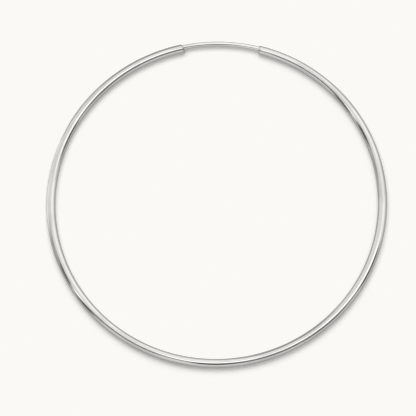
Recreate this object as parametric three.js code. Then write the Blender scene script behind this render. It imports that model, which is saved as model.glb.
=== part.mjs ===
// Endless hoop earring, in millimetres: a thin-walled tube bent into a ring, and a thinner ear wire
// that closes it at the top. The ring lies flat on the plane z = 0, with its centre on the Z axis
// and the middle of the ear wire on +Y. The tube's open mouth is on the -X side of the wire, and
// its other end, closed down on the wire, is on the +X side.

import * as THREE from "three";

// Ring and tube
const OUTER_DIAMETER = 55;
const TUBE_DIAMETER = 1.5;
const TUBE_WALL = 0.13;
const MOUTH_EDGE_BREAK = 0.04;

// Closed-down end of the tube
const CLOSED_END_LENGTH = 0.35;

// Ear wire
const WIRE_DIAMETER = 0.8;
const WIRE_SHOWN = 12.4;
const WIRE_HELD = 3;
const WIRE_IN_MOUTH = 7;
const WIRE_TIP_LENGTH = 0.5;
const WIRE_GAP = 0.03;

// Facets
const SIDES = 16;
const TUBE_PITCH_DEGREES = 3.75;
const WIRE_PITCH_DEGREES = 1.5;
const CURVE_STEPS = 4;

const RING_RADIUS = (OUTER_DIAMETER - TUBE_DIAMETER) / 2;
const TUBE_RADIUS = TUBE_DIAMETER / 2;
const BORE_RADIUS = TUBE_RADIUS - TUBE_WALL;
const WIRE_RADIUS = WIRE_DIAMETER / 2;
const TUBE_LENGTH = 2 * Math.PI * RING_RADIUS - WIRE_SHOWN;

// A flat side lies this much nearer the axis than a corner, so corners are set out by its inverse.
const FLAT_TO_CORNER = 1 / Math.cos(Math.PI / SIDES);

// The ear wire bears on the outer wall of the bore, which puts it this far outside the ring's line.
const WIRE_OFFSET = BORE_RADIUS - WIRE_GAP - WIRE_RADIUS;

/** Length along the ring's centre line that an angle in degrees spans. */
function arcLength(degrees) {
  return RING_RADIUS * THREE.MathUtils.degToRad(degrees);
}

/** Places at whole pitches from offset, that keep a quarter of a pitch inside two ends. */
function stations(from, to, pitch, offset = 0) {
  const places = [];
  const first = Math.ceil((from + pitch / 4 - offset) / pitch);
  const last = Math.floor((to - pitch / 4 - offset) / pitch);
  for (let step = first; step <= last; step += 1) {
    places.push(offset + step * pitch);
  }
  return places;
}

/** A round section of the bar: its radius, its place along the bar, and how far outward it lies. */
function section(radius, place, outward = 0) {
  return { radius, place, outward };
}

/** Sections of a quarter-round end, from a full one at fromPlace to one of no radius at toPlace. */
function roundTip(radius, fromPlace, toPlace, outward) {
  const sections = [];
  for (let step = 1; step <= CURVE_STEPS; step += 1) {
    const turn = (step / CURVE_STEPS) * (Math.PI / 2);
    const place = fromPlace + (toPlace - fromPlace) * Math.sin(turn);
    sections.push(section(radius * Math.cos(turn), place, outward));
  }
  return sections;
}

/**
 * Sections of a wall that closes down over the end of the tube in a quarter round. It moves in on
 * the ring's inner side only, so each section shrinks and moves outward by the same amount.
 */
function closingWall(radius, shoulder) {
  const sections = [];
  for (let step = 0; step <= CURVE_STEPS; step += 1) {
    const turn = (step / CURVE_STEPS) * (Math.PI / 2);
    const closing = WIRE_OFFSET * (1 - Math.cos(turn));
    const place = shoulder + CLOSED_END_LENGTH * Math.sin(turn);
    sections.push(section(radius - closing, place, closing));
  }
  return sections;
}

/**
 * Solid of revolution with a flat side facing up and another facing down, bent round the ring. The
 * place along the straight bar becomes an angle, counterclockwise from middleDegrees.
 */
function bentBar(sections, middleDegrees) {
  const profile = sections.map(({ radius, place }) => new THREE.Vector2(radius * FLAT_TO_CORNER, place));
  const bar = new THREE.LatheGeometry(profile, SIDES, Math.PI / SIDES);
  const position = bar.getAttribute("position");
  const middle = THREE.MathUtils.degToRad(middleDegrees);
  for (let i = 0; i < position.count; i += 1) {
    const { place, outward } = sections[i % sections.length];
    const angle = middle + place / RING_RADIUS;
    const radius = RING_RADIUS + outward + position.getX(i);
    const height = TUBE_RADIUS + position.getZ(i);
    position.setXYZ(i, radius * Math.cos(angle), radius * Math.sin(angle), height);
  }
  bar.computeVertexNormals();
  return bar;
}

/** The hollow ring: square-cut open mouth at one end, closed down on the ear wire at the other. */
function hoopTube() {
  const mouth = -TUBE_LENGTH / 2;
  const end = TUBE_LENGTH / 2;
  const shoulder = end - CLOSED_END_LENGTH;
  const places = stations(mouth, shoulder, arcLength(TUBE_PITCH_DEGREES));
  const outerWall = places.map((place) => section(TUBE_RADIUS, place));
  const boreWall = places.map((place) => section(BORE_RADIUS, place));
  const sections = [
    section(BORE_RADIUS, mouth),
    section(TUBE_RADIUS - MOUTH_EDGE_BREAK, mouth),
    section(TUBE_RADIUS, mouth + MOUTH_EDGE_BREAK),
    ...outerWall,
    ...closingWall(TUBE_RADIUS, shoulder),
    section(BORE_RADIUS - WIRE_OFFSET, end, WIRE_OFFSET),
    ...closingWall(BORE_RADIUS, shoulder - TUBE_WALL).reverse(),
    ...boreWall.reverse(),
    section(BORE_RADIUS, mouth),
  ];
  return bentBar(sections, -90);
}

/** The ear wire: square-cut where the tube holds it, with a rounded tip that enters the mouth. */
function earWire() {
  const heldEnd = -WIRE_SHOWN / 2 - WIRE_HELD;
  const tip = WIRE_SHOWN / 2 + WIRE_IN_MOUTH;
  const tipStart = tip - WIRE_TIP_LENGTH;
  const pitch = arcLength(WIRE_PITCH_DEGREES);
  const places = stations(heldEnd, tipStart, pitch, pitch / 2);
  const sections = [
    section(0, heldEnd, WIRE_OFFSET),
    section(WIRE_RADIUS, heldEnd, WIRE_OFFSET),
    ...places.map((place) => section(WIRE_RADIUS, place, WIRE_OFFSET)),
    section(WIRE_RADIUS, tipStart, WIRE_OFFSET),
    ...roundTip(WIRE_RADIUS, tipStart, tip, WIRE_OFFSET),
  ];
  return bentBar(sections, 90);
}

/** Bright polished white metal. */
function polishedMetal(name, color, roughness) {
  return new THREE.MeshStandardMaterial({ name, color, roughness, metalness: 1 });
}

/** A named sub-part. */
function piece(name, geometry, material) {
  const mesh = new THREE.Mesh(geometry, material);
  mesh.name = name;
  return mesh;
}

const earring = new THREE.Group();
earring.name = "hoop_earring";
earring.add(
  piece("hoop_tube", hoopTube(), polishedMetal("tube_polish", 0xe6e7e8, 0.08)),
  piece("ear_wire", earWire(), polishedMetal("wire_polish", 0xdcddde, 0.14)),
);

export default earring;
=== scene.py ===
"""An endless hoop earring of bright white metal, lying on a pale studio floor.

A thin-walled polished tube is bent into a ring, and a thinner ear wire closes it at the top. Both
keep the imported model's frame, in metres: the ring's axis is +Z, the floor is z = 0, and the middle
of the ear wire is on +Y. The tube's open mouth is on the -X side of the wire, and its other end,
closed down on the wire, is on the +X side.
"""

import logging
import math
from dataclasses import dataclass
from enum import Enum

import bpy
import numpy as np
from mathutils import Matrix, Vector


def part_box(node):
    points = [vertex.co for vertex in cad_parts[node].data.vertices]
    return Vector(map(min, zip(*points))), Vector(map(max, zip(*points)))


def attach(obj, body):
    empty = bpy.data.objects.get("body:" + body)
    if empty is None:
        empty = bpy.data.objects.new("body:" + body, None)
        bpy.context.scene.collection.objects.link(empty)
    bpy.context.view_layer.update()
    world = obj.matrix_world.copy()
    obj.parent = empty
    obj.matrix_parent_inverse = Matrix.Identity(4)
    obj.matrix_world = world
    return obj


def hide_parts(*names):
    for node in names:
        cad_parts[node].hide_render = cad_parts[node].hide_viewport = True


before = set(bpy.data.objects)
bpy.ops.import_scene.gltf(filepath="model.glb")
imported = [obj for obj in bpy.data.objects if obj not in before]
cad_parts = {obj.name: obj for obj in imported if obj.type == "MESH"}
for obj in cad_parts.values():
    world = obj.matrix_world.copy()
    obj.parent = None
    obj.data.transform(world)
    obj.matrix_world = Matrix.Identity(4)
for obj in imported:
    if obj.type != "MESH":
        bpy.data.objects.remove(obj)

log = logging.getLogger("hoop_earring")

MM = 0.001

Faces = list[list[int]]
Pair = tuple[object, object]


class Slot(Enum):
    """The record's material slots."""

    TUBE = "tube_polish"
    WIRE = "wire_polish"


class Leaves(Enum):
    """The way a rounded corner of a profile sets off: across the bar, or along it."""

    ACROSS = "across"
    ALONG = "along"


class Ray(Enum):
    """The Light Path outputs that the studio tells apart."""

    CAMERA = "Is Camera Ray"
    DIFFUSE = "Is Diffuse Ray"


# ---------------------------------------------------------------------------------------------
# Shapes
# ---------------------------------------------------------------------------------------------


def placed(name: str, data: bpy.types.ID) -> bpy.types.Object:
    """Puts an object with the given mesh, lamp or lens into the scene.

    Args:
        name: The object's name.
        data: What the object holds.

    Returns:
        The object, at the origin.
    """
    made = bpy.data.objects.new(name, data)
    bpy.context.scene.collection.objects.link(made)
    return made


def numbered(rows: int, columns: int) -> np.ndarray:
    """The numbers of a grid's points, row after row."""
    return np.arange(rows * columns).reshape(rows, columns)


def quads(numbers: np.ndarray) -> np.ndarray:
    """Joins a grid of points into quads.

    The corners of a quad are a point, the next one down, the one across from that, and the one
    across from the first.

    Args:
        numbers: The points' numbers, rows by columns.

    Returns:
        The four numbers of each quad.
    """
    corners = [numbers[:-1, :-1], numbers[1:, :-1], numbers[1:, 1:], numbers[:-1, 1:]]
    return np.stack(corners, axis=-1).reshape(-1, 4)


def smooth(share: np.ndarray) -> np.ndarray:
    """Eases shares from 0 to 1: three of the square less two of the cube."""
    return 3 * share**2 - 2 * share**3


@dataclass(frozen=True)
class Section:
    """One round section of a bar.

    It has a radius, a place along the bar, and a distance by which it lies outward of the bar's
    line. Where it is skewed, a point of it is further along by the skew for each unit outward.
    The dull share is 0 where it is polished, and 1 where it is left as cut: rougher, and painted near black
    as painted shade for the bore and the gap round the wire.
    """

    radius: float
    place: float
    outward: float = 0.0
    skew: float = 0.0
    cut_and_painted_shade: float = 0.0


@dataclass(frozen=True)
class Sections:
    """Round sections of a bar in the order in which its surface runs, as arrays of equal length.

    Two sections whose radius, place and outward distance differ by less than the tolerance, in
    metres, count as one.
    """

    TOLERANCE = 1e-9

    radius: np.ndarray
    place: np.ndarray
    outward: np.ndarray
    skew: np.ndarray
    cut_and_painted_shade: np.ndarray

    @classmethod
    def between(cls, start: Section, end: Section, radial: np.ndarray, axial: np.ndarray) -> "Sections":
        """Blends two sections.

        Args:
            start: The first section.
            end: The last section.
            radial: Shares from 0 to 1 by which the radius and the outward move go over.
            axial: Shares from 0 to 1 by which the place goes over.

        Returns:
            A section for each pair of shares.
        """
        return cls(
            start.radius + (end.radius - start.radius) * radial,
            start.place + (end.place - start.place) * axial,
            start.outward + (end.outward - start.outward) * radial,
            start.skew + (end.skew - start.skew) * axial,
            start.cut_and_painted_shade + (end.cut_and_painted_shade - start.cut_and_painted_shade) * axial,
        )

    @classmethod
    def straight(cls, start: Section, end: Section, pitch: float) -> "Sections":
        """Even steps from one section to another.

        Args:
            start: The first section.
            end: The last section.
            pitch: The greatest length of a step.

        Returns:
            The sections, both ends included.
        """
        steps = max(1, math.ceil(abs(end.place - start.place) / pitch))
        share = np.linspace(0.0, 1.0, steps + 1)
        return cls.between(start, end, share, share)

    @classmethod
    def corner(cls, start: Section, end: Section, leaves: Leaves, steps: int) -> "Sections":
        """A quarter of an ellipse between two sections.

        The share of the way that it sets off in is the sine of a turn from 0 to 90 degrees, and
        the share of the other way is one less the cosine of that turn.

        Args:
            start: The first section.
            end: The last section.
            leaves: The way in which the corner sets off.
            steps: The number of steps in the quarter turn.

        Returns:
            The sections of the corner, both ends included.
        """
        turn = np.linspace(0.0, math.pi / 2, steps + 1)
        early, late = np.sin(turn), 1.0 - np.cos(turn)
        if leaves is Leaves.ACROSS:
            return cls.between(start, end, early, late)
        return cls.between(start, end, late, early)

    @classmethod
    def joined(cls, *runs: "Sections") -> "Sections":
        """Lays runs of sections end to end.

        Args:
            runs: The runs, in order.

        Returns:
            All the sections, without any that repeats the one before it.
        """
        table = np.hstack([np.vstack(list(vars(run).values())) for run in runs])
        step = np.abs(np.diff(table[:3], axis=1)).max(axis=0)
        kept = np.concatenate([[True], step > cls.TOLERANCE])
        return cls(*table[:, kept])


@dataclass(frozen=True)
class RingLine:
    """The centre line that both pieces follow: a level circle round the frame's Z axis."""

    radius: float
    height: float

    @classmethod
    def of_tube(cls, node: str) -> "RingLine":
        """Reads the line from the box of the ring's CAD node, which lies flat on the floor.

        Args:
            node: The CAD node's name.

        Returns:
            The centre line of the tube in that box.
        """
        low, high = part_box(node)
        tube_radius = (high.z - low.z) / 2
        return cls((high.x - low.x) / 2 - tube_radius, low.z + tube_radius)

    @property
    def length(self) -> float:
        """The length once round."""
        return 2 * math.pi * self.radius

    def bend(self, sections: Sections, middle: float, around: int) -> tuple[np.ndarray, np.ndarray]:
        """Bends a straight bar round the line.

        A point of the straight bar lies at a place along it, and at the section's radius times
        the cosine and the sine of a turn, outward and up. Bent, its place over the line's radius
        is an angle from the middle, and outward is away from the ring's axis.

        Args:
            sections: The bar's sections.
            middle: The angle, from +X, of the bar's place 0.
            around: The number of points in each section.

        Returns:
            The bent points and the straight ones, each an array of sections by turns by 3.
        """
        turn = np.arange(around) * (2 * math.pi / around)
        out = sections.radius[:, None] * np.cos(turn)
        up = sections.radius[:, None] * np.sin(turn)
        place = sections.place[:, None] + sections.skew[:, None] * out
        angle = middle + place / self.radius
        reach = self.radius + sections.outward[:, None] + out
        bent = np.stack([reach * np.cos(angle), reach * np.sin(angle), self.height + up], axis=-1)
        return bent, np.stack([place, out, up], axis=-1)


class BarMesh:
    """Turns a bar's grid of points, sections by turns, into a closed and smooth mesh object.

    Each point keeps its place on the straight bar, and its share of cut finish with painted shade, as
    attributes.
    """

    STRAIGHT = "straight"
    CUT_AND_PAINTED_SHADE = "cut_and_painted_shade"

    def __init__(self, line: RingLine, sections: Sections, middle: float, around: int) -> None:
        """Bends the sections round the line, and keeps the grid as it was before, too.

        Args:
            line: The line to bend them round.
            sections: The bar's sections.
            middle: The angle, from +X, of the bar's place 0.
            around: The number of points in each section.
        """
        self.bent, self.straight = line.bend(sections, middle, around)
        self.cut_and_painted_shade = np.repeat(sections.cut_and_painted_shade, around)
        self.numbers = numbered(*self.bent.shape[:2])

    def _object(self, name: str, points: np.ndarray, straight: np.ndarray, faces: Faces) -> bpy.types.Object:
        """Makes the object, shaded smooth.

        Args:
            name: The object's name.
            points: The bent points. Any past the grid's own are polished, not cut, and get no painted shade.
            straight: The places of the same points on the straight bar.
            faces: The numbers of each face's points.

        Returns:
            The object.
        """
        mesh = bpy.data.meshes.new(name)
        mesh.from_pydata(points.tolist(), [], faces)
        mesh.polygons.foreach_set("use_smooth", np.ones(len(faces), dtype=bool))
        kept = mesh.attributes.new(self.STRAIGHT, "FLOAT_VECTOR", "POINT")
        kept.data.foreach_set("vector", straight.astype(np.float32).ravel())
        # The share of cut finish and painted shade at each point; the poles get none.
        cut_and_painted_shade = np.zeros(len(points), dtype=np.float32)
        cut_and_painted_shade[: len(self.cut_and_painted_shade)] = self.cut_and_painted_shade
        mesh.attributes.new(self.CUT_AND_PAINTED_SHADE, "FLOAT", "POINT").data.foreach_set("value", cut_and_painted_shade)
        mesh.update()
        return placed(name, mesh)

    def loop(self, name: str) -> bpy.types.Object:
        """A bar whose last section joins on to its first, as a tube's do down its bore.

        Args:
            name: The object's name.

        Returns:
            The object.
        """
        faces = quads(np.pad(self.numbers, ((0, 1), (0, 1)), mode="wrap")).tolist()
        return self._object(name, self.bent.reshape(-1, 3), self.straight.reshape(-1, 3), faces)

    def capped(self, name: str) -> bpy.types.Object:
        """A solid bar, whose first and last sections are closed by a fan round their middle.

        Args:
            name: The object's name.

        Returns:
            The object.
        """
        first, last = self.numbers[0], self.numbers[-1]
        start_pole = np.full_like(first, self.numbers.size)
        end_pole = start_pole + 1
        start_fan = np.stack([start_pole, first, np.roll(first, -1)], axis=-1)
        end_fan = np.stack([end_pole, np.roll(last, -1), last], axis=-1)
        sides = quads(np.pad(self.numbers, ((0, 0), (0, 1)), mode="wrap"))
        faces = sides.tolist() + start_fan.tolist() + end_fan.tolist()
        return self._object(name, self._with_poles(self.bent), self._with_poles(self.straight), faces)

    @staticmethod
    def _with_poles(grid: np.ndarray) -> np.ndarray:
        """The grid's points, then the middle of its first and of its last section."""
        poles = np.stack([grid[0].mean(axis=0), grid[-1].mean(axis=0)])
        return np.vstack([grid.reshape(-1, 3), poles])


# ---------------------------------------------------------------------------------------------
# Finishes
# ---------------------------------------------------------------------------------------------


class NodeBench:
    """Adds nodes to one node tree and joins them."""

    def __init__(self, tree: bpy.types.NodeTree) -> None:
        """Works on the given tree."""
        self.tree = tree

    @classmethod
    def cleared(cls, owner: bpy.types.ID) -> "NodeBench":
        """Starts on the empty node tree of a material or a world.

        Args:
            owner: The material or world.

        Returns:
            The bench for its nodes.
        """
        owner.use_nodes = True
        owner.node_tree.nodes.clear()
        return cls(owner.node_tree)

    def add(self, kind: str, **settings: object) -> bpy.types.Node:
        """Adds a node.

        Args:
            kind: The node's type.
            settings: Values for the node's own properties.

        Returns:
            The node.
        """
        node = self.tree.nodes.new(kind)
        for name, value in settings.items():
            setattr(node, name, value)
        return node

    def feed(self, socket: bpy.types.NodeSocket, value: object) -> None:
        """Joins an input to another node's output, or gives it a value of its own.

        Args:
            socket: The input.
            value: An output, or a plain value.
        """
        if isinstance(value, bpy.types.NodeSocket):
            self.tree.links.new(value, socket)
        else:
            socket.default_value = value

    def end(self, kind: str, surface: bpy.types.NodeSocket) -> None:
        """Adds the tree's output node, and joins a surface to it."""
        self.feed(self.add(kind).inputs["Surface"], surface)

    def math(self, operation: str, *values: object) -> bpy.types.NodeSocket:
        """Works out a number from others.

        Args:
            operation: The Math node's operation.
            values: The one, two or three numbers that the operation takes.

        Returns:
            The output with the result.
        """
        node = self.add("ShaderNodeMath", operation=operation)
        for socket, value in zip(node.inputs, values):
            self.feed(socket, value)
        return node.outputs["Value"]

    def _vector_math(self, operation: str, first: object, second: object) -> bpy.types.Node:
        """Adds a Vector Math node for two vectors.

        Args:
            operation: The node's operation.
            first: The first vector.
            second: The second vector.

        Returns:
            The node.
        """
        node = self.add("ShaderNodeVectorMath", operation=operation)
        self.feed(node.inputs[0], first)
        self.feed(node.inputs[1], second)
        return node

    def dot(self, first: object, second: object) -> bpy.types.NodeSocket:
        """The dot product of two vectors."""
        return self._vector_math("DOT_PRODUCT", first, second).outputs["Value"]

    def scaled(self, vector: object, scale: tuple[float, float, float]) -> bpy.types.NodeSocket:
        """A vector stretched by three factors."""
        return self._vector_math("MULTIPLY", vector, scale).outputs["Vector"]

    def ramp(self, value: object, limits: Pair, ends: Pair = (0.0, 1.0)) -> bpy.types.NodeSocket:
        """Goes smoothly from one end to the other as a value goes from one limit to the other.

        Args:
            value: The value.
            limits: The lower and the upper limit.
            ends: The results at the lower and at the upper limit.

        Returns:
            The output with the result.
        """
        node = self.add("ShaderNodeMapRange", interpolation_type="SMOOTHSTEP")
        labels = ("Value", "From Min", "From Max", "To Min", "To Max")
        for label, given in zip(labels, (value, *limits, *ends)):
            self.feed(node.inputs[label], given)
        return node.outputs["Result"]

    def mix(self, share: object, first: object, second: object) -> bpy.types.NodeSocket:
        """Blends two numbers.

        Args:
            share: How far to go from the first to the second, from 0 to 1.
            first: The number at share 0.
            second: The number at share 1.

        Returns:
            The output with the result.
        """
        node = self.add("ShaderNodeMix", data_type="FLOAT")
        self.feed(node.inputs["Factor"], share)
        self.feed(node.inputs["A"], first)
        self.feed(node.inputs["B"], second)
        return node.outputs["Result"]

    def mix_shaders(self, share: object, first: object, second: object) -> bpy.types.NodeSocket:
        """Blends two shaders, as mix does numbers.

        Args:
            share: How far to go from the first to the second, from 0 to 1.
            first: The shader at share 0.
            second: The shader at share 1.

        Returns:
            The output with the result.
        """
        node = self.add("ShaderNodeMixShader")
        for socket, given in zip(node.inputs, (share, first, second)):
            self.feed(socket, given)
        return node.outputs[0]

    def noise(self, vector: object, detail: float, roughness: float = 0.5) -> bpy.types.NodeSocket:
        """Soft noise from 0 to 1, one lump to each unit of the vector.

        Args:
            vector: Where to read the noise.
            detail: How many times it is halved and laid over itself.
            roughness: How strong each next layer is.

        Returns:
            The output with the noise.
        """
        node = self.add("ShaderNodeTexNoise", noise_dimensions="3D")
        inputs = {"Vector": vector, "Scale": 1.0, "Detail": detail, "Roughness": roughness}
        for label, given in inputs.items():
            self.feed(node.inputs[label], given)
        return node.outputs["Fac"]


class NodeGroup:
    """A shader node group with named inputs and outputs, built once."""

    def __init__(self, name: str, inputs: dict[str, str], outputs: dict[str, str]) -> None:
        """Makes the group and its sockets.

        Args:
            name: The group's name.
            inputs: Names of the inputs, each with its socket type.
            outputs: Names of the outputs, each with its socket type.
        """
        self.tree = bpy.data.node_groups.new(name, "ShaderNodeTree")
        for side, sockets in (("INPUT", inputs), ("OUTPUT", outputs)):
            for label, kind in sockets.items():
                self.tree.interface.new_socket(label, in_out=side, socket_type=kind)
        self.bench = NodeBench(self.tree)
        self.given = self.bench.add("NodeGroupInput").outputs
        self.result = self.bench.add("NodeGroupOutput").inputs

    def place(self, bench: NodeBench, values: dict[str, object]) -> bpy.types.Node:
        """Places the group in another tree.

        Args:
            bench: The bench of that tree.
            values: Names of the group's inputs, each with its value there.

        Returns:
            The group's node.
        """
        node = bench.add("ShaderNodeGroup", node_tree=self.tree)
        for label, value in values.items():
            bench.feed(node.inputs[label], value)
        return node


class PolishMarks(NodeGroup):
    """What a polishing wheel and handling leave on bright metal.

    Hairlines run along the bar, haze lies in soft patches, and the skin of the metal swells by a few
    thousandths of a millimetre. Where it is left as cut, the metal is rough, and its colour is painted near
    black as painted shade for the bore and the gap round the wire. The group puts out the metal's shade, its
    roughness and the height of its skin.
    """

    HAIRLINES_PER_METRE = (300.0, 11000.0, 11000.0)
    HAIRLINE_DETAIL = 3.0
    HAIRLINE_BREAKUP = 0.6
    HAIRLINE_LIMITS = (0.55, 0.70)
    HAZE_PER_METRE = (190.0, 700.0, 700.0)
    HAZE_DETAIL = 2.0
    HAZE_LIMITS = (0.45, 0.65)
    HAZE_SHADE = 0.9
    SWELLS_PER_METRE = (220.0, 700.0, 700.0)
    SWELL_DETAIL = 1.0
    GROOVE_HEIGHT = -2.0
    # Painted shade: the near-black colour of the cut faces, the bore and the mouth's rim, standing in for
    # the shadow in the gap round the wire.
    CUT_PAINTED_SHADE = 0.08
    CUT_ROUGHNESS = 0.45

    def __init__(self) -> None:
        """Builds the group's nodes."""
        value = "NodeSocketFloat"
        inputs = {"Straight": "NodeSocketVector", "Cut_and_painted_shade": value, "Shade": value, "Roughness": value}
        inputs |= {"Hairlines": value, "Haze": value, "Swell": value}
        super().__init__("polish_marks", inputs, {"Shade": value, "Roughness": value, "Height": value})
        bench, given = self.bench, self.given
        straight, cut_and_painted_shade = given["Straight"], given["Cut_and_painted_shade"]
        fine = bench.scaled(straight, self.HAIRLINES_PER_METRE)
        lines = bench.noise(fine, self.HAIRLINE_DETAIL, self.HAIRLINE_BREAKUP)
        line_mask = bench.ramp(lines, self.HAIRLINE_LIMITS)
        haze = bench.noise(bench.scaled(straight, self.HAZE_PER_METRE), self.HAZE_DETAIL)
        haze_mask = bench.ramp(haze, self.HAZE_LIMITS)
        rough = bench.math("MULTIPLY_ADD", line_mask, given["Hairlines"], given["Roughness"])
        rough = bench.math("MULTIPLY_ADD", haze_mask, given["Haze"], rough)
        bench.feed(self.result["Roughness"], bench.mix(cut_and_painted_shade, rough, self.CUT_ROUGHNESS))
        shade = bench.math("MULTIPLY", given["Shade"], bench.mix(haze_mask, 1.0, self.HAZE_SHADE))
        # Painted shade: the cut parts are painted near black; only their roughness is the real cut finish.
        bench.feed(self.result["Shade"], bench.mix(cut_and_painted_shade, shade, self.CUT_PAINTED_SHADE))
        swell = bench.noise(bench.scaled(straight, self.SWELLS_PER_METRE), self.SWELL_DETAIL)
        height = bench.math("MULTIPLY", swell, given["Swell"])
        depth = bench.math("MULTIPLY", given["Hairlines"], self.GROOVE_HEIGHT)
        groove = bench.math("MULTIPLY", line_mask, depth)
        bench.feed(self.result["Height"], bench.math("ADD", height, groove))


@dataclass(frozen=True)
class WhiteMetal:
    """Bright white metal.

    Shade is the share of light that it throws back. Hairlines and haze are what those marks add
    to the roughness where they are strongest. Swell is in reliefs, and a relief is in metres.
    """

    name: str
    shade: float
    roughness: float
    hairlines: float
    haze: float
    swell: float
    relief: float = 0.004 * MM

    def material(self, marks: PolishMarks) -> bpy.types.Material:
        """Makes the material.

        Args:
            marks: The group of polish marks.

        Returns:
            The material, whose shade, roughness and bump come from the marks.
        """
        made = bpy.data.materials.new(self.name)
        bench = NodeBench.cleared(made)
        straight = bench.add("ShaderNodeAttribute", attribute_name=BarMesh.STRAIGHT).outputs["Vector"]
        # The share of cut finish, which the marks paint near black as painted shade.
        cut_and_painted_shade = bench.add("ShaderNodeAttribute", attribute_name=BarMesh.CUT_AND_PAINTED_SHADE).outputs["Fac"]
        worked = marks.place(
            bench,
            {
                "Straight": straight,
                "Cut_and_painted_shade": cut_and_painted_shade,
                "Shade": self.shade,
                "Roughness": self.roughness,
                "Hairlines": self.hairlines,
                "Haze": self.haze,
                "Swell": self.swell,
            },
        )
        bump = bench.add("ShaderNodeBump")
        bench.feed(bump.inputs["Height"], worked.outputs["Height"])
        bench.feed(bump.inputs["Distance"], self.relief)
        skin = bench.add("ShaderNodeBsdfPrincipled")
        bench.feed(skin.inputs["Base Color"], worked.outputs["Shade"])
        bench.feed(skin.inputs["Metallic"], 1.0)
        bench.feed(skin.inputs["Roughness"], worked.outputs["Roughness"])
        bench.feed(skin.inputs["Normal"], bump.outputs["Normal"])
        bench.end("ShaderNodeOutputMaterial", skin.outputs["BSDF"])
        return made


# ---------------------------------------------------------------------------------------------
# The earring
# ---------------------------------------------------------------------------------------------


@dataclass(frozen=True)
class EarWire:
    """The thin wire that goes through the ear.

    It bears on the outer wall of the tube's bore, so it lies a little outside the ring's line. Its
    tip is rounded down to a small flat, a share of its radius.
    """

    line: RingLine
    radius: float
    outward: float
    shown: float = 12.4 * MM
    held: float = 3.0 * MM
    in_mouth: float = 7.0 * MM
    tip_length: float = 0.5 * MM
    tip_flat: float = 0.02
    tip_steps: int = 10
    pitch: float = 0.15 * MM
    around: int = 48
    middle: float = math.pi / 2
    finish: WhiteMetal = WhiteMetal(
        "drawn_white_metal", shade=0.90, roughness=0.15, hairlines=0.22, haze=0.08, swell=1.0
    )

    def sections(self) -> Sections:
        """Sections from the square cut where the tube holds it to the rounded free tip.

        Returns:
            The sections.
        """
        held_end = -self.shown / 2 - self.held
        tip = self.shown / 2 + self.in_mouth
        tip_start = tip - self.tip_length
        return Sections.joined(
            Sections.straight(
                Section(self.radius, held_end, self.outward),
                Section(self.radius, tip_start, self.outward),
                self.pitch,
            ),
            Sections.corner(
                Section(self.radius, tip_start, self.outward),
                Section(self.radius * self.tip_flat, tip, self.outward),
                Leaves.ALONG,
                self.tip_steps,
            ),
        )

    def build(self, marks: PolishMarks) -> bpy.types.Object:
        """Builds and dresses the wire, in place of its CAD node.

        Args:
            marks: The group of polish marks.

        Returns:
            The wire's object.
        """
        grid = BarMesh(self.line, self.sections(), self.middle, self.around)
        wire = grid.capped("drawn_ear_wire")
        wire.data.materials.append(self.finish.material(marks))
        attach(wire, "root")
        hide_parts("ear_wire")
        return wire


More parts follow.
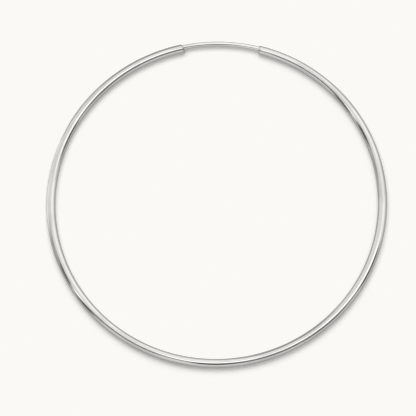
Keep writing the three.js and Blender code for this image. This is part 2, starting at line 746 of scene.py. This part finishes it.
@dataclass(frozen=True)
class HoopTube:
    """The hollow ring, with an open mouth at one end and closed down on the wire at the other."""

    line: RingLine
    wire: EarWire
    wall: float = 0.13 * MM
    closed_length: float = 0.42 * MM
    closed_steps: int = 24
    closed_bore_steps: int = 10
    mouth_skew: float = 0.2
    skew_length: float = 2.0 * MM
    mouth_round: float = 0.09 * MM
    mouth_steps: int = 8
    # The share of cut finish and painted shade where the mouth's rounded rim meets the outside.
    mouth_cut_and_painted_shade: float = 0.6
    lip_round: float = 0.03 * MM
    lip_steps: int = 5
    pitch: float = 0.23 * MM
    bore_pitch: float = 1.0 * MM
    around: int = 72
    middle: float = -math.pi / 2
    finish: WhiteMetal = WhiteMetal(
        "polished_white_metal", shade=0.83, roughness=0.06, hairlines=0.20, haze=0.10, swell=2.0
    )

    @property
    def radius(self) -> float:
        """The tube's own radius. It lies on the floor, so that is the height of its line."""
        return self.line.height

    def sections(self) -> Sections:
        """Sections from the mouth along the outside to the closed end, and back down the bore.

        Over the closed end each wall shrinks by a closing, and moves outward by as much, so its
        outermost line stays where it is and only the ring's inner side moves in on the wire. The
        mouth is cut askew, and the skew dies out over a short length.

        Returns:
            The sections, of which the last joins on to the first.
        """
        bore = self.radius - self.wall
        closing = self.wire.outward
        grip = bore - closing
        mouth = -(self.line.length - self.wire.shown) / 2
        end = -mouth
        shoulder = end - self.closed_length
        square = mouth + self.skew_length
        lip, skew, rim = self.lip_round, self.mouth_skew, self.mouth_round
        # The lip, the mouth's rim and the bore are left as cut: rougher, and painted near black as painted
        # shade for the bore and the gap round the wire.
        return Sections.joined(
            Sections.corner(
                Section(bore, mouth + lip, skew=skew, cut_and_painted_shade=1.0),
                Section(bore + lip, mouth, skew=skew, cut_and_painted_shade=1.0),
                Leaves.ALONG,
                self.lip_steps,
            ),
            Sections.corner(
                Section(self.radius - rim, mouth, skew=skew, cut_and_painted_shade=1.0),
                Section(self.radius, mouth + rim, skew=skew, cut_and_painted_shade=self.mouth_cut_and_painted_shade),
                Leaves.ACROSS,
                self.mouth_steps,
            ),
            Sections.straight(
                Section(self.radius, mouth + rim + lip, skew=skew),
                Section(self.radius, square),
                self.pitch,
            ),
            Sections.straight(Section(self.radius, square), Section(self.radius, shoulder), self.pitch),
            Sections.corner(
                Section(self.radius, shoulder),
                Section(self.radius - closing, end, closing),
                Leaves.ALONG,
                self.closed_steps,
            ),
            Sections.corner(
                Section(grip + lip, end, closing),
                Section(grip, end - lip, closing),
                Leaves.ACROSS,
                self.lip_steps,
            ),
            Sections.corner(
                Section(grip, end - self.wall, closing, cut_and_painted_shade=1.0),
                Section(bore, shoulder - self.wall, cut_and_painted_shade=1.0),
                Leaves.ACROSS,
                self.closed_bore_steps,
            ),
            Sections.straight(
                Section(bore, shoulder - self.wall, cut_and_painted_shade=1.0),
                Section(bore, square, cut_and_painted_shade=1.0),
                self.bore_pitch,
            ),
            Sections.straight(
                Section(bore, square, cut_and_painted_shade=1.0),
                Section(bore, mouth + 2 * lip, skew=skew, cut_and_painted_shade=1.0),
                self.pitch,
            ),
        )

    def build(self, marks: PolishMarks) -> bpy.types.Object:
        """Builds and dresses the tube, in place of its CAD node.

        Args:
            marks: The group of polish marks.

        Returns:
            The tube's object.
        """
        grid = BarMesh(self.line, self.sections(), self.middle, self.around)
        tube = grid.loop("polished_hoop_tube")
        tube.data.materials.append(self.finish.material(marks))
        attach(tube, "root")
        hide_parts("hoop_tube")
        return tube


# ---------------------------------------------------------------------------------------------
# The studio
# ---------------------------------------------------------------------------------------------


@dataclass(frozen=True)
class Bearing:
    """A direction: its azimuth from +X towards +Y, and its angle from overhead, in degrees."""

    azimuth: float
    from_overhead: float

    def vector(self) -> Vector:
        """Works out the direction.

        Returns:
            The direction as a unit vector.
        """
        azimuth, tilt = math.radians(self.azimuth), math.radians(self.from_overhead)
        level = math.sin(tilt)
        return Vector((level * math.cos(azimuth), level * math.sin(azimuth), math.cos(tilt)))


@dataclass(frozen=True)
class TentPanel:
    """A soft-edged strip of the light tent, along the great circle between two bearings.

    Half the width and the soft edge are in degrees, and light is the panel's brightness.
    """

    start: Bearing
    end: Bearing
    half_width: float
    light: float
    edge: float

    def axes(self) -> tuple[Vector, Vector, Vector, float]:
        """Works out how the strip lies.

        Returns:
            Its middle direction, its long and cross directions, and half its length in radians.
        """
        start, end = self.start.vector(), self.end.vector()
        middle = (start + end).normalized()
        along = (end - start - middle * (end - start).dot(middle)).normalized()
        return middle, along, middle.cross(along), start.angle(end) / 2


class PanelGroup(NodeGroup):
    """Lays one panel over the light so far.

    A direction's angle along the strip is the arc tangent of its part along over its part
    towards the middle, and its angle aside is the arc sine of its part across. The panel covers
    both smoothly, from half an edge outside its border to half an edge inside.
    """

    def __init__(self) -> None:
        """Builds the group's nodes."""
        value, vector = "NodeSocketFloat", "NodeSocketVector"
        inputs = {"Light so far": value, "Direction": vector}
        inputs |= {"Middle": vector, "Along": vector, "Across": vector}
        inputs |= {"Half length": value, "Half width": value, "Half edge": value, "Light": value}
        super().__init__("tent_panel", inputs, {"Light": value})
        bench, given = self.bench, self.given
        towards = bench.dot(given["Direction"], given["Middle"])
        along = bench.math("ABSOLUTE", bench.dot(given["Direction"], given["Along"]))
        across = bench.math("ABSOLUTE", bench.dot(given["Direction"], given["Across"]))
        cover = 1.0
        for angle, half in (
            (bench.math("ARCTAN2", along, towards), given["Half length"]),
            (bench.math("ARCSINE", across), given["Half width"]),
        ):
            inside = bench.math("SUBTRACT", half, given["Half edge"])
            outside = bench.math("ADD", half, given["Half edge"])
            covered = bench.ramp(angle, (inside, outside), (1.0, 0.0))
            cover = bench.math("MULTIPLY", cover, covered)
        bench.feed(self.result["Light"], bench.mix(cover, given["Light so far"], given["Light"]))


@dataclass(frozen=True)
class LightTent:
    """A white tent of soft light all round, a little brighter to the north, with panels in it.

    The metal mirrors it as bright and dark lines, and the floor gets a share of it, spilled. The
    camera sees a plain pale backdrop instead. Near the horizon the walls lose a share of their
    light, the edge depth, over the angles of the edge. Ramps to the north go by how far north a
    direction points, from -1 to 1.
    """

    backdrop: float = 1.1
    power: float = 1.33
    spilled: float = 0.8
    wall_ramp: tuple[float, float] = (-0.3, 0.6)
    wall_light: tuple[float, float] = (0.60, 0.66)
    edge_degrees: tuple[float, float] = (4.5, 12.6)
    edge_ramp: tuple[float, float] = (-0.2, 0.5)
    edge_depth: tuple[float, float] = (0.2, 0.4)
    # From one bearing to another, with half the width, the light and the edge. A later panel
    # covers an earlier one.
    panels: tuple[TentPanel, ...] = (
        TentPanel(Bearing(150, 40), Bearing(30, 60), 38, 0.64, 25),
        TentPanel(Bearing(75, 20), Bearing(40, 62), 28, 0.82, 20),
        TentPanel(Bearing(95, 34), Bearing(100, 50), 7, 0.88, 10),
        TentPanel(Bearing(180, 8), Bearing(-6, 36), 12, 1.12, 8),
        TentPanel(Bearing(125, 76), Bearing(100, 74), 8, 0.08, 9),
        TentPanel(Bearing(-100, 30), Bearing(-18, 62), 18, 0.15, 10),
        TentPanel(Bearing(-140, 68), Bearing(-60, 76), 12, 0.56, 12),
        TentPanel(Bearing(-108, 10), Bearing(-90, 44), 6, 0.04, 5),
        TentPanel(Bearing(-107, 21), Bearing(-163, 24), 6, 0.08, 5),
        TentPanel(Bearing(-118, 32), Bearing(-160, 38), 9, 0.16, 6),
        TentPanel(Bearing(-5, 47), Bearing(-8, 78), 8, 0.03, 7),
        TentPanel(Bearing(177, 42), Bearing(177, 90), 6, 0.30, 10),
        TentPanel(Bearing(-177, 33), Bearing(-166, 86), 5, 0.09, 6),
        TentPanel(Bearing(-158, 28), Bearing(-153, 90), 5, 0.08, 5),
        TentPanel(Bearing(-167, 32), Bearing(-164, 52), 3, 1.1, 4),
        TentPanel(Bearing(174, 88), Bearing(-166, 88), 5, 0.15, 5),
    )

    def _walls(self, bench: NodeBench, direction: bpy.types.NodeSocket) -> bpy.types.NodeSocket:
        """Lights the tent's plain walls.

        Args:
            bench: The bench of the world's nodes.
            direction: The direction looked in.

        Returns:
            The output with the light from that direction.
        """
        parts = bench.add("ShaderNodeSeparateXYZ")
        bench.feed(parts.inputs["Vector"], direction)
        north = bench.ramp(parts.outputs["Y"], self.wall_ramp, self.wall_light)
        height = bench.math("ABSOLUTE", parts.outputs["Z"])
        low, high = (math.sin(math.radians(degrees)) for degrees in self.edge_degrees)
        edge = bench.ramp(height, (low, high), (1.0, 0.0))
        depth = bench.ramp(parts.outputs["Y"], self.edge_ramp, self.edge_depth)
        kept = bench.math("SUBTRACT", 1.0, bench.math("MULTIPLY", edge, depth))
        return bench.math("MULTIPLY", north, kept)

    def build(self) -> bpy.types.World:
        """Makes the tent the scene's world.

        Returns:
            The world.
        """
        world = bpy.data.worlds.new("light_tent")
        bench = NodeBench.cleared(world)
        direction = bench.add("ShaderNodeTexCoord").outputs["Generated"]
        light = self._walls(bench, direction)
        group = PanelGroup()
        for panel in self.panels:
            middle, along, across, half_length = panel.axes()
            laid = group.place(
                bench,
                {
                    "Light so far": light,
                    "Direction": direction,
                    "Middle": middle,
                    "Along": along,
                    "Across": across,
                    "Half length": half_length,
                    "Half width": math.radians(panel.half_width),
                    "Half edge": math.radians(panel.edge / 2),
                    "Light": panel.light,
                },
            )
            light = laid.outputs["Light"]
        paths = bench.add("ShaderNodeLightPath")
        strength = bench.mix(paths.outputs[Ray.DIFFUSE.value], self.power, self.power * self.spilled)
        tent = bench.add("ShaderNodeBackground")
        bench.feed(tent.inputs["Color"], light)
        bench.feed(tent.inputs["Strength"], strength)
        plain = bench.add("ShaderNodeBackground")
        bench.feed(plain.inputs["Color"], (1.0, 1.0, 1.0, 1.0))
        bench.feed(plain.inputs["Strength"], self.backdrop)
        chosen = bench.mix_shaders(paths.outputs[Ray.CAMERA.value], tent.outputs[0], plain.outputs[0])
        bench.end("ShaderNodeOutputWorld", chosen)
        bpy.context.scene.world = world
        return world


@dataclass(frozen=True)
class SoftBox:
    """The key light, high to the north. It faces the hoop, and the metal doesn't mirror it."""

    bearing: Bearing = Bearing(112, 24)
    distance: float = 0.8
    width: float = 0.75
    depth: float = 0.45
    watts: float = 2.3

    def build(self) -> bpy.types.Object:
        """Makes the light.

        Returns:
            The light's object.
        """
        lamp = bpy.data.lights.new("soft_box", "AREA")
        lamp.shape = "RECTANGLE"
        lamp.size, lamp.size_y = self.width, self.depth
        lamp.energy = self.watts
        box = placed("soft_box", lamp)
        box.visible_glossy = False
        towards = self.bearing.vector()
        across = Vector((0.0, 0.0, 1.0)).cross(towards).normalized()
        turned = Matrix((across, towards.cross(across), towards)).transposed().to_4x4()
        box.matrix_world = Matrix.Translation(towards * self.distance) @ turned
        return box


@dataclass(frozen=True)
class StudioFloor:
    """A plain pale sheet under the hoop.

    It is lit faintly from below, and so bright that the camera sees it as the backdrop where
    nothing shades it. The metal mirrors it as grey paper, lit more from below and less from above.
    """

    half_size: float = 0.6
    sunk: float = 0.005 * MM
    shown: float = 1.095
    shown_glow: float = 0.105
    mirrored: float = 0.15
    mirrored_glow: float = 0.35

    def build(self) -> bpy.types.Object:
        """Makes the sheet, which isn't part of the hoop.

        Returns:
            The floor's object.
        """
        side = np.array([-1.0, 1.0]) * self.half_size
        x, y = np.meshgrid(side, side)
        points = np.stack([x, y, np.full_like(x, -self.sunk)], axis=-1).reshape(-1, 3)
        mesh = bpy.data.meshes.new("studio_floor")
        mesh.from_pydata(points.tolist(), [], [(0, 1, 3, 2)])
        mesh.materials.append(self._paper())
        floor = placed("studio_floor", mesh)
        return floor

    def _paper(self) -> bpy.types.Material:
        """Makes the sheet's paper, whose shade and glow go by what kind of ray meets it.

        Returns:
            The material.
        """
        paper = bpy.data.materials.new("pale_paper")
        bench = NodeBench.cleared(paper)
        seen = bench.add("ShaderNodeLightPath").outputs[Ray.CAMERA.value]
        sheet = bench.add("ShaderNodeBsdfDiffuse")
        bench.feed(sheet.inputs["Color"], bench.mix(seen, self.mirrored, self.shown))
        glow = bench.add("ShaderNodeEmission")
        bench.feed(glow.inputs["Strength"], bench.mix(seen, self.mirrored_glow, self.shown_glow))
        lit = bench.add("ShaderNodeAddShader")
        bench.feed(lit.inputs[0], sheet.outputs[0])
        bench.feed(lit.inputs[1], glow.outputs[0])
        bench.end("ShaderNodeOutputMaterial", lit.outputs[0])
        return paper


@dataclass(frozen=True)
class BounceCard:
    """A white card bent round a part of the hoop's west side, which only the metal sees.

    Its foot lies just above the floor, clear of the hoop, and its back stands up. It fades out
    towards both ends. Angles are in degrees, and the middle is from +X.
    """

    SHARE = "share"

    line: RingLine
    clear: float = 1.1 * MM
    foot: float = 3.5 * MM
    back: float = 3.0 * MM
    lifted: float = 0.02 * MM
    middle: float = 172.0
    half_angle: float = 22.0
    fade_angle: float = 9.0
    light: float = 0.95
    steps: int = 48

    def build(self) -> bpy.types.Object:
        """Makes the card, a profile of foot and back carried round an arc.

        A point's share of the light goes smoothly from 0 at an end to 1 one fade angle inside.

        Returns:
            The card's object.
        """
        near = self.line.radius + self.line.height + self.clear
        far = near + self.foot
        reach = np.array([near, far, far])
        height = np.array([self.lifted, self.lifted, self.lifted + self.back])
        aside = np.linspace(-self.half_angle, self.half_angle, self.steps + 1)
        angle = np.radians(self.middle + aside)[:, None]
        points = np.stack(
            np.broadcast_arrays(reach * np.cos(angle), reach * np.sin(angle), height), axis=-1
        )
        inside = np.clip((self.half_angle - np.abs(aside)) / self.fade_angle, 0.0, 1.0)
        share = np.repeat(smooth(inside), len(reach))
        faces = quads(numbered(*points.shape[:2]))
        mesh = bpy.data.meshes.new("bounce_card")
        mesh.from_pydata(points.reshape(-1, 3).tolist(), [], faces.tolist())
        kept = mesh.attributes.new(self.SHARE, "FLOAT", "POINT")
        kept.data.foreach_set("value", share.astype(np.float32))
        mesh.materials.append(self._white())
        card = placed("bounce_card", mesh)
        card.visible_camera = False
        card.visible_diffuse = False
        card.visible_shadow = False
        return card

    def _white(self) -> bpy.types.Material:
        """Makes the card's plain light, which lets through what lies behind where it has faded out.

        Returns:
            The material.
        """
        white = bpy.data.materials.new("lit_card")
        bench = NodeBench.cleared(white)
        share = bench.add("ShaderNodeAttribute", attribute_name=self.SHARE).outputs["Fac"]
        clear = bench.add("ShaderNodeBsdfTransparent")
        lit = bench.add("ShaderNodeEmission")
        bench.feed(lit.inputs["Strength"], self.light)
        faded = bench.mix_shaders(share, clear.outputs[0], lit.outputs[0])
        bench.end("ShaderNodeOutputMaterial", faded)
        return white


@dataclass(frozen=True)
class WarmPrint:
    """How the picture is printed: pure white, and what is brighter, comes out as a warm paper white."""

    paper: tuple[float, float, float] = (0.956, 0.947, 0.913)

    def apply(self) -> None:
        """Sets the scene's view, with one straight curve each for red, green and blue."""
        view = bpy.context.scene.view_settings
        view.view_transform = "Standard"
        view.use_curve_mapping = True
        curves = view.curve_mapping
        curves.extend = "HORIZONTAL"
        for curve, top in zip(curves.curves, self.paper):
            curve.points[-1].location = (1.0, top)
            for point in curve.points:
                point.handle_type = "VECTOR"
        curves.update()


@dataclass(frozen=True)
class StudioCamera:
    """A long lens high over the hoop's south side.

    Angles are in degrees, and the sensor's width is in millimetres. The frame is square, and the
    hoop's middle lies a little right of and above the frame's.
    """

    target: Vector
    azimuth: float = 6.0
    elevation: float = 73.8
    roll: float = 4.66
    distance: float = 0.9
    frame_width: float = 67.11 * MM
    right_of_middle: float = 1.39 * MM
    above_middle: float = 0.80 * MM
    sensor: float = 36.0
    nearest: float = 0.01
    farthest: float = 10.0

    def build(self) -> bpy.types.Object:
        """Makes the camera and sets it as the scene's.

        Returns:
            The camera's object.
        """
        angles = (self.azimuth, self.elevation, self.roll)
        azimuth, elevation, roll = (math.radians(angle) for angle in angles)
        level_right = Vector((math.cos(azimuth), math.sin(azimuth), 0.0))
        away = Vector((-math.sin(azimuth), math.cos(azimuth), 0.0))
        back = Vector((0.0, 0.0, math.sin(elevation))) - away * math.cos(elevation)
        level_up = back.cross(level_right)
        right = level_right * math.cos(roll) - level_up * math.sin(roll)
        up = level_right * math.sin(roll) + level_up * math.cos(roll)
        aim = self.target - right * self.right_of_middle - up * self.above_middle
        turned = Matrix((right, up, back)).transposed().to_4x4()
        lens = bpy.data.cameras.new("studio_camera")
        lens.sensor_width = self.sensor
        lens.lens = self.sensor * self.distance / self.frame_width
        lens.clip_start = self.nearest
        lens.clip_end = self.farthest
        camera = placed("studio_camera", lens)
        camera.matrix_world = Matrix.Translation(aim + back * self.distance) @ turned
        bpy.context.scene.camera = camera
        return camera


# ---------------------------------------------------------------------------------------------
# Putting it together
# ---------------------------------------------------------------------------------------------


def main() -> None:
    """Builds the hoop and its studio."""
    logging.basicConfig(level=logging.INFO, format="%(name)s: %(message)s")
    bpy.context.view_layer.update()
    line = RingLine.of_tube("hoop_tube")
    wire_low, wire_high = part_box("ear_wire")
    wire_radius = (wire_high.z - wire_low.z) / 2
    wire_outward = wire_high.y - line.radius - wire_radius
    marks = PolishMarks()
    wire = EarWire(line, wire_radius, wire_outward)
    tube = HoopTube(line, wire)
    for piece in (wire.build(marks), tube.build(marks)):
        log.info("%s: %d faces", piece.name, len(piece.data.polygons))
    LightTent().build()
    SoftBox().build()
    StudioFloor().build()
    BounceCard(line).build()
    StudioCamera(Vector((0.0, 0.0, line.height))).build()
    WarmPrint().apply()


if __name__ == "__main__":
    main()
